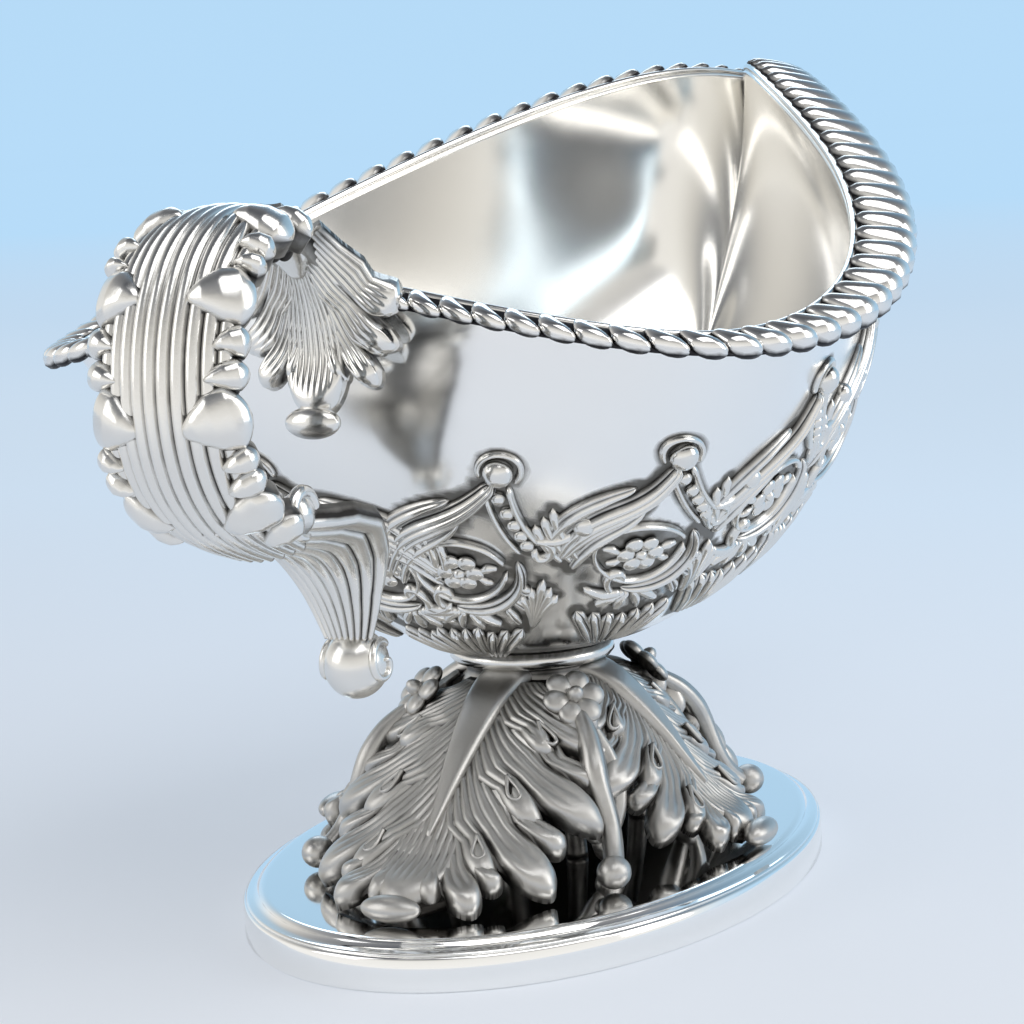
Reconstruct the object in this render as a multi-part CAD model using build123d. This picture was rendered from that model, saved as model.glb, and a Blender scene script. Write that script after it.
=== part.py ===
from build123d import *
import math
import os

os.makedirs("parts", exist_ok=True)

# Driving dimensions, mm.  +X runs from the handle to the spout, +Z is up,
# the origin is the centre of the underside of the oval plinth.
BASE_A = 65.3
BASE_B = 44.1
BAND_H = 5.5
BAND_WALL = 1.6
PLINTH_TOP = 7.3
STEP_IN = 3.4
PLATE_T = 1.3

# control polygon of the rim, handle end to spout, one side only
RIM_X = [-64, -64, -41, -7, 31, 69, 100, 117, 127]
RIM_Y = [0, 45, 61, 63, 49, 23, 6, 0.6, 0]
RIM_Z = [105, 95, 92, 100, 114, 129, 135, 132.5, 131]
BODY_A = 87.0
BODY_B = 61.0
BODY_X = 22.5
BOWL_FLOOR = 40.5
BOWL_SEAT_R = 13.0
WALL = 1.3

COLLAR_R = 13.4
NECK_R = 11.6
NECK_Z = 34.6

LEAF_REACH_X = 54.0
LEAF_REACH_Y = 37.5

# centreline of the handle strap in the plane y = 0
STRAP = [(-66.5, 106.5), (-74, 113), (-84, 116.6), (-93.5, 117), (-101, 113.2),
         (-106.4, 105.5), (-109, 95.5), (-108.6, 86), (-104.6, 78.2), (-97, 72.6)]
STRAP_HALF = [7.5, 8.5, 9, 9.3, 9.6, 9.8, 9.8, 9.6, 9.2, 8.6]
SCROLL = [(-97.6, 73.2), (-88, 69.2), (-77.6, 66.2), (-69.4, 62.2), (-64.6, 57.2), (-62.6, 52.4)]
SCROLL_HALF = [7.0, 9.6, 10.4, 8.4, 5.6, 3.4]
BALL_R = 5.0
BALL_AT = (-61.6, 0, 49.4)

PANEL_AT = [(0.028, 0.27), (0.15, 0.28), (0.335, 0.3), (0.474, 0.315), (0.6, 0.335)]


def spline3(controls, t):
    """Clamped cubic B-spline value of one coordinate."""
    n = len(controls)
    knots = [0.0] * 4 + [i / (n - 3) for i in range(1, n - 3)] + [1.0] * 4
    t = min(max(t, 0.0), 1 - 1e-9)
    k = max(i for i in range(3, n) if knots[i] <= t)
    d = [float(controls[k - 3 + j]) for j in range(4)]
    for r in range(1, 4):
        for j in range(3, r - 1, -1):
            low = knots[k - 3 + j]
            a = (t - low) / (knots[k + 1 + j - r] - low)
            d[j] = (1 - a) * d[j - 1] + a * d[j]
    return d[3]


def rim(t, side=1):
    """Point on the inner lip of the bowl, t = 0 at the handle, 1 at the spout."""
    return Vector(spline3(RIM_X, t), side * spline3(RIM_Y, t), spline3(RIM_Z, t))


def body_radius(angle):
    """Radius of the unpinched egg-shaped body about the Z axis."""
    c = math.cos(angle)
    s = math.sin(angle)
    qa = (c / BODY_A) ** 2 + (s / BODY_B) ** 2
    qb = -2 * c * BODY_X / BODY_A ** 2
    qc = (BODY_X / BODY_A) ** 2 - 1
    return (-qb + math.sqrt(qb * qb - 4 * qa * qc)) / (2 * qa)


def meridian(t, s):
    """Radius and height on the bowl's outside, s = 0 at the seat, 1 at the rim."""
    p = rim(t)
    angle = math.atan2(p.Y, p.X)
    top = math.hypot(p.X, p.Y)
    body = body_radius(angle)
    theta = s * math.pi / 2
    rho = math.sin(theta) ** (0.52 - 0.08 * math.cos(angle))
    rise = (1 - math.cos(theta)) ** 0.45
    reach = body + (top - body) * rise ** 2
    return (BOWL_SEAT_R + (reach - BOWL_SEAT_R) * rho,
            BOWL_FLOOR + (p.Z - BOWL_FLOOR) * rise, angle)


def skin(t, s, out=0.0, side=1):
    """Point on the bowl's outside, moved out along the surface normal."""
    def at(tt, ss):
        r, z, a = meridian(min(max(tt, 0.0), 1.0), ss)
        return Vector(r * math.cos(a), r * math.sin(a), z)
    p = at(t, s)
    du = at(t + 0.01, s) - at(t - 0.01, s)
    dv = at(t, min(s + 0.01, 1.0)) - at(t, max(s - 0.01, 0.0))
    n = du.cross(dv).normalized()
    if n.X * p.X + n.Y * p.Y < 0:
        n = n * -1
    p = p + n * out
    return Vector(p.X, side * p.Y, p.Z)


def tube(points, radii, flat=1.0, across=None):
    """Solid swept through ellipses; radii are half widths along `across`."""
    sections = []
    last = len(points) - 1
    for i, p in enumerate(points):
        tangent = (points[min(i + 1, last)] - points[max(i - 1, 0)]).normalized()
        ref = across if isinstance(across, Vector) else (across[i] if across else None)
        if ref is None:
            ref = Vector(0, 0, 1) if abs(tangent.Z) < 0.9 else Vector(1, 0, 0)
        x_dir = (ref - tangent * ref.dot(tangent)).normalized()
        plane = Plane(origin=p, x_dir=x_dir, z_dir=tangent)
        sections.append(plane * Ellipse(radii[i], radii[i] * flat))
    return loft(sections)


def ball(p, r):
    return Pos(p.X, p.Y, p.Z) * Sphere(r)


def base_band():
    outer = extrude(Ellipse(BASE_A, BASE_B), BAND_H)
    return outer - extrude(Ellipse(BASE_A - BAND_WALL, BASE_B - BAND_WALL), BAND_H)


def base_plate():
    low = Pos(0, 0, BAND_H) * Ellipse(BASE_A, BASE_B)
    mid = Pos(0, 0, BAND_H + 0.9) * Ellipse(BASE_A - STEP_IN + 0.9, BASE_B - STEP_IN + 0.9)
    top = Pos(0, 0, PLINTH_TOP) * Ellipse(BASE_A - STEP_IN, BASE_B - STEP_IN)
    solid = loft([low, mid], ruled=True) + loft([mid, top], ruled=True)
    recess = Ellipse(BASE_A - STEP_IN - 1.4, BASE_B - STEP_IN - 1.4)
    return solid - extrude(Pos(0, 0, BAND_H) * recess, PLINTH_TOP - PLATE_T - BAND_H)


def half_bowl(side):
    sections = []
    for t in (0, 0.05, 0.1, 0.17, 0.25, 0.35, 0.46, 0.57, 0.68, 0.78, 0.86, 0.93, 1.0):
        outer = []
        inner = []
        angle = meridian(t, 0.5)[2]
        for s in (0.0, 0.03, 0.1, 0.22, 0.36, 0.52, 0.68, 0.84, 1.0):
            r, z, _ = meridian(t, s)
            r1, z1, _ = meridian(t, min(s + 0.01, 1.0))
            r0, z0, _ = meridian(t, max(s - 0.01, 0.0))
            d = math.hypot(r1 - r0, z1 - z0)
            outer.append((r, z))
            inner.append((r - WALL * (z1 - z0) / d, z + WALL * (r1 - r0) / d))
        inner[0] = (BOWL_SEAT_R, BOWL_FLOOR + WALL)
        frame = Plane(origin=(0, 0, 0), x_dir=(math.cos(angle), side * math.sin(angle), 0),
                      z_dir=(side * math.sin(angle), -math.cos(angle), 0))
        sign = 1 if (frame.y_dir.Z > 0) else -1
        pts_out = [frame.from_local_coords(Vector(r, sign * z, 0)) for r, z in outer]
        pts_in = [frame.from_local_coords(Vector(r, sign * z, 0)) for r, z in inner]
        edges = [Spline(*pts_out), Line(pts_out[-1], pts_in[-1]),
                 Spline(*pts_in[::-1]), Line(pts_in[0], pts_out[0])]
        sections.append(Face(Wire(edges)))
    return loft(sections)


def bowl_shell():
    floor = Pos(0, 0, BOWL_FLOOR - 0.2) * extrude(Circle(BOWL_SEAT_R + 3), WALL)
    half = half_bowl(1)
    return half + mirror(half, Plane.XZ) + floor


def border_width(t):
    """Half width of the gadroon border: small by the handle, full at the spout."""
    return 1.4 + 3.0 * math.sin(math.pi * 0.78 * t ** 1.35)


def rim_frame(t):
    """Lip point with its level outward direction, on the +Y side."""
    p = rim(t)
    along = rim(min(t + 0.01, 1.0)) - rim(max(t - 0.01, 0.0))
    out = Vector(-along.Y, along.X, 0).normalized()
    return p, out


def rim_gadroon(side, shell):
    points = []
    across = []
    widths = []
    for i in range(22):
        t = 0.05 + 0.935 * i / 21
        p, out = rim_frame(t)
        w = border_width(t)
        lean = (out * 0.84 - Vector(0, 0, 0.54)).normalized()
        c = p + out * 0.35 + lean * w + Vector(0, 0, 0.5)
        points.append(Vector(c.X, side * max(c.Y, 0.3 + w * 0.9), c.Z))
        across.append(Vector(lean.X, side * lean.Y, lean.Z))
        widths.append(w)
    return tube(points, widths, 0.5, across) - shell


def rim_wire(side, shell, border):
    points = []
    for i in range(20):
        t = 0.03 + 0.94 * i / 19
        p, out = rim_frame(t)
        c = p - out * 0.65 + Vector(0, 0, 0.85)
        points.append(Vector(c.X, side * max(c.Y, 0.75), c.Z))
    return tube(points, [0.62] * len(points)) - shell - border


def spout_tip():
    outline = Polyline((126.6, 0), (131.0, 2.6), (132.4, 0), (131.0, -2.6), close=True)
    return extrude(Pos(0, 0, 131.4) * make_face(outline), 2.0)


def panel_point(t, s, u, v, out, side):
    """Point offset on the skin: u along the rim direction, v up the wall."""
    step_t = u / (skin(t + 0.01, s) - skin(t - 0.01, s)).length * 0.02
    step_s = v / (skin(t, s + 0.01) - skin(t, s - 0.01)).length * 0.02
    return skin(t + step_t, min(s + step_s, 0.99), out, side)


def ribbon(t, s, route, radii, side):
    """Flattened strip laid on the skin through a list of (u, v) offsets."""
    points = [panel_point(t, s, u, v, 0.25, side) for u, v in route]
    above = [panel_point(t, s, u, v, 1.25, side) for u, v in route]
    across = []
    last = len(points) - 1
    for i, p in enumerate(points):
        along = points[min(i + 1, last)] - points[max(i - 1, 0)]
        across.append(along.cross(above[i] - p).normalized())
    return tube(points, radii, 0.6, across)


def scroll_panel(index, side, shell):
    """One applied scroll panel: leafy arch, wire ring with flower, knobs, tail."""
    t, s = PANEL_AT[index]
    start = -8.5 if index == 0 else -11.5
    leaf_uv = [(start, -1), (-7, 4.5), (-2, 8.5), (3.2, 12.6)]
    arm_uv = [(5.0, 12.0), (7.0, 8.8), (9.0, 6.2), (11.0, 4.6)]
    tail_uv = [(8, -2.5), (5, -6.2), (0, -7.8), (-5, -7.2)]
    body = ribbon(t, s, leaf_uv, [1.2, 1.9, 1.9, 1.5], side)
    body += ribbon(t, s, arm_uv, [1.2, 1.2, 1.2, 1.3], side)
    body += ribbon(t, s, tail_uv, [1.0, 1.4, 1.5, 1.0], side)
    for u, v, r in ((4, 14.5, 2.0), (11.8, 4, 1.7)):
        body += ball(panel_point(t, s, u, v, 0.9, side), r)
    centre = panel_point(t, s, 0, 0, 0.5, side)
    normal = (panel_point(t, s, 0, 0, 1.5, side) - centre).normalized()
    face = Plane(origin=centre, z_dir=normal)
    body += face * Torus(4.6, 0.8)
    body += face * Sphere(1.3)
    for k in range(6):
        a = k * math.pi / 3
        body += face * Pos(2.1 * math.cos(a), 2.1 * math.sin(a), 0) * Sphere(1.1)
    return body - shell


def leaf_face(p, tangent, across, half, sag, thick):
    """Crescent section of a leaf, bowed away from the centre."""
    plane = Plane(origin=p, x_dir=across, z_dir=tangent)
    up = 1 if plane.y_dir.Z > 0 else -1
    a = plane.from_local_coords(Vector(-half, -up * sag, 0))
    b = plane.from_local_coords(Vector(0, 0, 0))
    c = plane.from_local_coords(Vector(half, -up * sag, 0))
    a2 = plane.from_local_coords(Vector(-half * 0.97, -up * (sag + thick), 0))
    b2 = plane.from_local_coords(Vector(0, -up * thick, 0))
    c2 = plane.from_local_coords(Vector(half * 0.97, -up * (sag + thick), 0))
    edges = [ThreePointArc(a, b, c), Line(c, c2), ThreePointArc(c2, b2, a2), Line(a2, a)]
    return Face(Wire(edges))


def foot_leaf(angle, reach):
    """Acanthus leaf from the neck, bowing out and down to a rolled tip."""
    radii = [8, 14, 22, 31, 40, 48, 54]
    heights = [36.0, 35.2, 30.8, 24.2, 16.8, 11.2, 9.0]
    halves = [5.5, 9.5, 14.5, 20, 20, 14, 6]
    sags = [0.8, 2.0, 4.5, 7.0, 6.5, 3.2, 0.6]
    k = (reach - 8) / (54 - 8)
    out = Vector(math.cos(angle), math.sin(angle), 0)
    across = Vector(-out.Y, out.X, 0)
    points = [out * (8 + (r - 8) * k) + Vector(0, 0, z) for r, z in zip(radii, heights)]
    narrow = 0.55 + 0.45 * k
    faces = []
    last = len(points) - 1
    for i, p in enumerate(points):
        tangent = (points[min(i + 1, last)] - points[max(i - 1, 0)]).normalized()
        faces.append(leaf_face(p, tangent, across, halves[i] * narrow, sags[i], 1.5))
    leaf = loft(faces)
    leaf -= Pos(0, 0, PLINTH_TOP - 10) * Box(160, 160, 20)
    leaf -= Pos(0, 0, 36) * Cylinder(NECK_R, 12)
    roll = Plane(origin=out * (reach + 0.6) + Vector(0, 0, 9.6), z_dir=across)
    return leaf + roll * Cylinder(2.3, 8)


def gap_place(quadrant):
    """Sign pair of one diagonal gap between the leaves."""
    return ((-1, -1), (-1, 1), (1, -1), (1, 1))[quadrant]


def foot_rosette(quadrant, leaves):
    sx, sy = gap_place(quadrant)
    c = Vector(sx * 14.0, sy * 13.2, 34.6)
    face = Plane(origin=c, z_dir=Vector(sx, sy, 1.1).normalized())
    body = face * Sphere(1.7)
    for k in range(5):
        a = k * 2 * math.pi / 5
        body += face * Pos(2.7 * math.cos(a), 2.7 * math.sin(a), -0.3) * Sphere(1.6)
    for leaf in leaves:
        body -= leaf
    return body


def foot_tendril(quadrant, leaves):
    """Scroll stem that fills one gap between two leaves, with its berries."""
    sx, sy = gap_place(quadrant)
    route = [(13.5, 13.0, 30.0), (17.5, 16.5, 26.5), (20.5, 18.5, 21.0),
             (21.5, 20.5, 15.5), (24.0, 22.5, 10.8), (26.5, 24.0, 9.6)]
    points = [Vector(sx * x, sy * y, z) for x, y, z in route]
    body = tube(points, [1.5, 2.2, 2.4, 2.2, 2.0, 1.6])
    body += ball(Vector(sx * 27.8, sy * 24.6, 9.9), 2.6)
    body += ball(Vector(sx * 20.0, sy * 14.5, 16.5), 1.7)
    body += ball(Vector(sx * 21.0, sy * 16.5, 12.8), 1.7)
    for leaf in leaves:
        body -= leaf
    return body


def foot_strut(quadrant):
    """Slim inner bar behind each gap, from the neck down to the plinth."""
    sx, sy = gap_place(quadrant)
    points = [Vector(sx * 8.8, sy * 8.2, 31.5), Vector(sx * 11.0, sy * 10.2, 24),
              Vector(sx * 12.6, sy * 11.6, 16), Vector(sx * 13.2, sy * 12.2, PLINTH_TOP)]
    bar = tube(points, [1.6, 1.6, 1.6, 1.8])
    return bar - Pos(0, 0, PLINTH_TOP - 5) * Box(60, 60, 10)


def foot_neck():
    ring = Pos(0, 0, 34.05) * Cylinder(NECK_R, 6.1)
    return ring - Pos(0, 0, 33) * Cylinder(NECK_R - 2.2, 6.1)


def collar_ring():
    ring = Pos(0, 0, 38.7) * Torus(COLLAR_R - 1.6, 1.6)
    return ring + Pos(0, 0, 38.7) * Cylinder(COLLAR_R - 1.6, 3.2)


def strap_points():
    return [Vector(x, 0, z) for x, z in STRAP]


def handle_strap(shell):
    strap = tube(strap_points(), STRAP_HALF, 0.25, Vector(0, 1, 0))
    return strap - shell


def handle_leaves(side, strap):
    """Row of rounded leaf lobes along one edge of the strap."""
    body = None
    pts = strap_points()
    for i in range(2, 10):
        r = 2.5 if i % 2 else 3.3
        c = Vector(pts[i].X, side * (STRAP_HALF[i] + 1.2), pts[i].Z)
        lobe = ball(c, r)
        body = lobe if body is None else body + lobe
    return body - strap


def handle_mount_leaf(shell, strap):
    """Fluted leaf that spreads from the strap over the stern of the bowl."""
    heights = [1.0, 0.93, 0.86, 0.79, 0.72, 0.66]
    halves = [7.5, 10.5, 13.5, 14.0, 10.5, 6.0]
    sags = [0.6, 1.3, 2.2, 2.4, 1.4, 0.6]
    points = [skin(0, s, 1.5) for s in heights]
    faces = []
    for i, p in enumerate(points):
        tangent = (points[min(i + 1, 5)] - points[max(i - 1, 0)]).normalized()
        plane = Plane(origin=p, x_dir=(0, 1, 0), z_dir=tangent)
        out = -1 if plane.y_dir.X > 0 else 1
        rim_pts = [(-halves[i], -sags[i]), (0, 0), (halves[i], -sags[i])]
        back_pts = [(halves[i], -sags[i] - 1.6), (0, -1.6), (-halves[i], -sags[i] - 1.6)]
        upper = [plane.from_local_coords(Vector(x, out * y, 0)) for x, y in rim_pts]
        lower = [plane.from_local_coords(Vector(x, out * y, 0)) for x, y in back_pts]
        edges = [ThreePointArc(*upper), Line(upper[2], lower[0]),
                 ThreePointArc(*lower), Line(lower[2], upper[0])]
        faces.append(Face(Wire(edges)))
    return loft(faces) - shell - strap


def handle_scroll(shell, strap):
    points = [Vector(x, 0, z) for x, z in SCROLL]
    return tube(points, SCROLL_HALF, 0.32, Vector(0, 1, 0)) - shell - strap


def handle_ball(scroll):
    return Pos(*BALL_AT) * Sphere(BALL_R) - scroll


def handle_eye(side, others):
    """Small curled eye where the strap meets the lower scroll."""
    eye = ball(Vector(-90.0, side * 9.0, 74.6), 3.4)
    for other in others:
        eye -= other
    return eye


def save(name, shape):
    export_step(Compound(children=list(shape.solids())), os.path.join("parts", name + ".step"))


shell = bowl_shell()
save("bowl_shell", shell)
save("base_band", base_band())
save("base_plate", base_plate())
save("spout_tip", spout_tip())
neck = foot_neck()
save("foot_neck", neck)
save("collar_ring", collar_ring())

leaf_back = foot_leaf(math.pi, LEAF_REACH_X)
leaf_front = foot_leaf(0, LEAF_REACH_X)
leaf_left = foot_leaf(math.pi / 2, LEAF_REACH_Y)
leaf_right = foot_leaf(-math.pi / 2, LEAF_REACH_Y)
leaves = [leaf_back, leaf_front, leaf_left, leaf_right]
for name, leaf in zip(("back", "front", "left", "right"), leaves):
    save("foot_leaf_" + name, leaf)

for q, name in enumerate(("back_right", "back_left", "front_right", "front_left")):
    rosette = foot_rosette(q, leaves)
    tendril = foot_tendril(q, leaves + [rosette])
    save("foot_rosette_" + name, rosette)
    save("foot_tendril_" + name, tendril)
    save("foot_strut_" + name, foot_strut(q) - tendril - neck)

strap = handle_strap(shell)
scroll = handle_scroll(shell, strap)
save("handle_strap", strap)
save("handle_scroll", scroll)
save("handle_ball", handle_ball(scroll))
save("handle_mount_leaf", handle_mount_leaf(shell, strap))

for index in range(len(PANEL_AT)):
    panel = scroll_panel(index, 1, shell)
    save("scroll_panel_left_" + str(index + 1), panel)
    save("scroll_panel_right_" + str(index + 1), mirror(panel, Plane.XZ))

border = rim_gadroon(1, shell)
wire = rim_wire(1, shell, border)
lobes = handle_leaves(1, strap)
eye = handle_eye(1, [strap, scroll, lobes])
for name, shape in (("rim_gadroon_", border), ("rim_wire_", wire),
                    ("handle_leaves_", lobes), ("handle_eye_", eye)):
    save(name + "left", shape)
    save(name + "right", mirror(shape, Plane.XZ))
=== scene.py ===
import math
import bmesh
import bpy
import numpy as np
from mathutils import Matrix, Vector

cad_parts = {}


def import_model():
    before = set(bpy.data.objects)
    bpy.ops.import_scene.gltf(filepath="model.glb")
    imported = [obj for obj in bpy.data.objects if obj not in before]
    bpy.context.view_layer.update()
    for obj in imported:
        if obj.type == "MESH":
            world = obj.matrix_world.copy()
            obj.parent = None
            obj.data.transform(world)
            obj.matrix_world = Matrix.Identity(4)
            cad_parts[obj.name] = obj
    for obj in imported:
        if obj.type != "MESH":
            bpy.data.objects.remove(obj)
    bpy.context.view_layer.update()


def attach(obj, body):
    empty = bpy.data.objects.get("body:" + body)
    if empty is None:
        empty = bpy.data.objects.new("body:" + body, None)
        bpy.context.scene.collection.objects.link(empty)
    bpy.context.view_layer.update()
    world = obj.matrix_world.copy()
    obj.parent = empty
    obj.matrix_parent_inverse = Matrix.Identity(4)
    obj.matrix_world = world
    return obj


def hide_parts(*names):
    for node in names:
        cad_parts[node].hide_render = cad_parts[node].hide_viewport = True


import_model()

MM = 0.001
PI = math.pi
SIDES = (("left", 1), ("right", -1))

# ---------------------------------------------------------------- shape of the bowl, mm
# controls of the rim's curve on the +Y side, from the stern to the spout
RIM_X = [-64, -64, -41, -7, 31, 69, 100, 117, 127]
RIM_Y = [0, 45, 61, 63, 49, 23, 6, 0.6, 0]
RIM_Z = [105, 95, 92, 100, 114, 129, 135, 132.5, 131]
# ellipse that the body follows below the rim: half length, half width, middle along X
BODY_A = 87.0
BODY_B = 61.0
BODY_X = 22.5
BOWL_FLOOR = 40.5
BOWL_SEAT_R = 13.0
WALL = 1.3
PLINTH_A = 65.3
PLINTH_B = 44.1
PLINTH_TOP = 7.3


def spline3(controls, t):
    """Clamped cubic B-spline through an array of parameters."""
    c = np.asarray(controls, float)
    t = np.clip(np.asarray(t, float), 0, 1 - 1e-9)
    n = len(c)
    knots = np.concatenate([[0] * 4, np.arange(1, n - 3) / (n - 3), [1] * 4])
    k = np.clip(np.searchsorted(knots, t, side="right") - 1, 3, n - 1)
    d = [c[k - 3 + j] for j in range(4)]
    for r in range(1, 4):
        for j in range(3, r - 1, -1):
            low = knots[k - 3 + j]
            a = (t - low) / (knots[k + 1 + j - r] - low)
            if c.ndim > 1:
                a = a[..., None]
            d[j] = (1 - a) * d[j - 1] + a * d[j]
    return d[3]


def rim(t):
    """Rim of the bowl on the +Y side; t runs from 0 at the stern to 1 at the spout."""
    return np.stack([spline3(RIM_X, t), spline3(RIM_Y, t), spline3(RIM_Z, t)], -1)


def skin_raw(t, s):
    """Outside of the bowl on the +Y side; s runs from 0 at the seat to 1 at the rim."""
    p = rim(t)
    ang = np.arctan2(p[..., 1], p[..., 0])
    top = np.hypot(p[..., 0], p[..., 1])
    c, sn = np.cos(ang), np.sin(ang)
    qa = (c / BODY_A) ** 2 + (sn / BODY_B) ** 2
    qb = -2 * c * BODY_X / BODY_A ** 2
    qc = (BODY_X / BODY_A) ** 2 - 1
    body = (-qb + np.sqrt(qb * qb - 4 * qa * qc)) / (2 * qa)
    theta = np.clip(s, 0, 1) * PI / 2
    rho = np.sin(theta) ** (0.52 - 0.08 * c)
    rise = (1 - np.cos(theta)) ** 0.45
    reach = body + (top - body) * rise ** 2
    r = BOWL_SEAT_R + (reach - BOWL_SEAT_R) * rho
    z = BOWL_FLOOR + (p[..., 2] - BOWL_FLOOR) * rise
    return np.stack([r * c, r * sn, z], -1)


def unit(v):
    """Vectors scaled to length 1."""
    return v / np.maximum(np.linalg.norm(v, axis=-1, keepdims=True), 1e-9)


def skin(t, s, out=0.0):
    """Point on the bowl moved out along the normal; arrays, +Y side."""
    t = np.clip(t, 0, 1)
    s = np.clip(s, 0.0005, 1)
    t, s, out = np.broadcast_arrays(t, s, out)
    p = skin_raw(t, s)
    e = 0.004
    du = skin_raw(np.clip(t + e, 0, 1), s) - skin_raw(np.clip(t - e, 0, 1), s)
    dv = skin_raw(t, np.clip(s + e, 0, 1)) - skin_raw(t, np.clip(s - e, 0, 1))
    n = unit(np.cross(du, dv))
    n = np.where((n[..., :1] * p[..., :1] + n[..., 1:2] * p[..., 1:2]) < 0, -n, n)
    return p + n * out[..., None]


def run_length(points):
    """Length from the first point to each point of a line."""
    return np.concatenate([[0], np.cumsum(np.linalg.norm(np.diff(points, axis=0), axis=1))])


# lengths round the lower bowl and up its wall, which lay out the relief
ROUND_T = np.linspace(0, 1, 1200)
ROUND_LENGTH = run_length(skin_raw(ROUND_T, np.full_like(ROUND_T, 0.35)))
WALL_S = np.linspace(0, 1, 600)
WALL_LENGTH = run_length(skin_raw(np.full_like(WALL_S, 0.25), WALL_S))


def on_bowl(side):
    """Map from (length round the bowl, height up the wall, height proud) to space."""
    def place(u, v, h):
        t = np.interp(np.abs(u), ROUND_LENGTH, ROUND_T)
        s = np.interp(v, WALL_LENGTH, WALL_S)
        p = skin(t, s, h)
        p[..., 1] *= side * np.where(u < 0, -1.0, 1.0)
        return p
    return place


# ---------------------------------------------------------------- mesh helpers
class Build:
    """Collects grids of points into one mesh with a value per point for oxide in hollows and for painted
    shade and highlight.
    """

    def __init__(self):
        self.verts = []
        self.faces = []
        self.pat = []
        self.count = 0

    def grid(self, p, pat, wrap_u=False, wrap_v=False, cap=False):
        """Add an n by m grid of points, closed along u or v, or capped at both ends of u."""
        n, m = p.shape[:2]
        self.verts.append(p.reshape(-1, 3))
        self.pat.append(np.broadcast_to(pat, (n, m)).reshape(-1))
        i = np.arange(n if wrap_u else n - 1)
        j = np.arange(m if wrap_v else m - 1)
        a, b = np.meshgrid(i, j, indexing="ij")
        a2, b2 = (a + 1) % n, (b + 1) % m
        quads = np.stack([a * m + b, a2 * m + b, a2 * m + b2, a * m + b2], -1)
        self.faces.extend((quads.reshape(-1, 4) + self.count).tolist())
        if cap:
            self.faces.append((np.arange(m) + self.count).tolist())
            self.faces.append((np.arange(m)[::-1] + (n - 1) * m + self.count).tolist())
        self.count += n * m

    def piece(self, name, material, slot, nodes=()):
        """Make the mesh object, give it to the root body and say which CAD nodes it replaces."""
        mesh = bpy.data.meshes.new(name)
        mesh.from_pydata((np.concatenate(self.verts) * MM).tolist(), [], self.faces)
        mesh.validate()
        layer = mesh.attributes.new("pat", "FLOAT", "POINT")
        layer.data.foreach_set("value", np.concatenate(self.pat).astype(np.float32))
        mesh.polygons.foreach_set("use_smooth", [True] * len(mesh.polygons))
        ob = bpy.data.objects.new(name, mesh)
        bpy.context.scene.collection.objects.link(ob)
        fix_normals(mesh)
        mesh.materials.append(material)
        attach(ob, "root")
        if nodes:
            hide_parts(*nodes)


def fix_normals(mesh):
    """Join points that meet and turn every face outwards."""
    bm = bmesh.new()
    bm.from_mesh(mesh)
    bmesh.ops.remove_doubles(bm, verts=bm.verts, dist=1e-7)
    bmesh.ops.recalc_face_normals(bm, faces=bm.faces)
    bm.to_mesh(mesh)
    bm.free()


def smooth_path(points, n):
    """Points along a clamped cubic spline whose controls are the given points."""
    c = np.asarray(points, float)
    if len(c) < 4:
        k = np.linspace(0, len(c) - 1, 4)
        c = np.stack([np.interp(k, np.arange(len(c)), c[:, i]) for i in range(c.shape[1])], -1)
    fine = spline3(c, np.linspace(0, 1, 160))
    d = run_length(fine)
    k = np.linspace(0, d[-1], n)
    return np.stack([np.interp(k, d, fine[:, i]) for i in range(c.shape[1])], -1)


def along(values, n):
    """The values spread evenly over n steps."""
    return np.interp(np.linspace(0, 1, n), np.linspace(0, 1, len(values)), values)


def end_round(n, start=0.12, end=0.12):
    """Taper factors that round off both ends of a strand."""
    k = np.linspace(0, 1, n)
    f = np.ones(n)
    if start > 0:
        x = np.clip(k / start, 0, 1)
        f *= np.sqrt(np.clip(1 - (1 - x) ** 2, 0, 1))
    if end > 0:
        x = np.clip((1 - k) / end, 0, 1)
        f *= np.sqrt(np.clip(1 - (1 - x) ** 2, 0, 1))
    return np.maximum(f, 0.02)


def strand(b, place, path, widths, heights, n=26, m=12, flutes=0, deep=0.35,
           start=0.1, end=0.12, sink=0.5, crown=2.2, base=0.0, back=0.0):
    """Raised rounded strip on a surface: path in surface units, closed section."""
    c = smooth_path(path, n)
    w = along(widths, n)
    f = end_round(n, start, end)
    h = along(heights, n)
    d = unit(np.gradient(c, axis=0))
    nrm = np.stack([-d[:, 1], d[:, 0]], -1)
    x = np.linspace(-1, 1, m + flutes * 6 + 1)
    shape = (1 - np.abs(x) ** crown) ** (1 / 1.6)
    if flutes:
        wave = np.abs(np.sin(x * flutes * PI / 2 + (flutes % 2 == 0) * PI / 2))
        groove = 1 - wave ** 0.6
        groove *= np.clip((1 - np.abs(x)) * 6, 0, 1)
    else:
        groove = np.zeros_like(x)
    top = base + (h * f)[:, None] * (shape - deep * groove)[None]
    off = (w * f)[:, None] * x[None]
    u = c[:, :1] + nrm[:, :1] * off
    v = c[:, 1:2] + nrm[:, 1:2] * off
    upper = place(u, v, top)
    lower = place(u[:, ::-1], v[:, ::-1], np.full_like(u, -sink) + base)
    # painted highlight along the crown of each strip, darker at its edges and in its flutes (oxide and
    # painted shade); the sunk underside takes the back tone
    tone_top = np.clip(0.15 + 0.95 * shape - groove, 0, 1)
    pat = np.concatenate([np.broadcast_to(tone_top, u.shape), np.full_like(u, back)], 1)
    b.grid(np.concatenate([upper, lower], 1), pat, wrap_v=True, cap=True)


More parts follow.
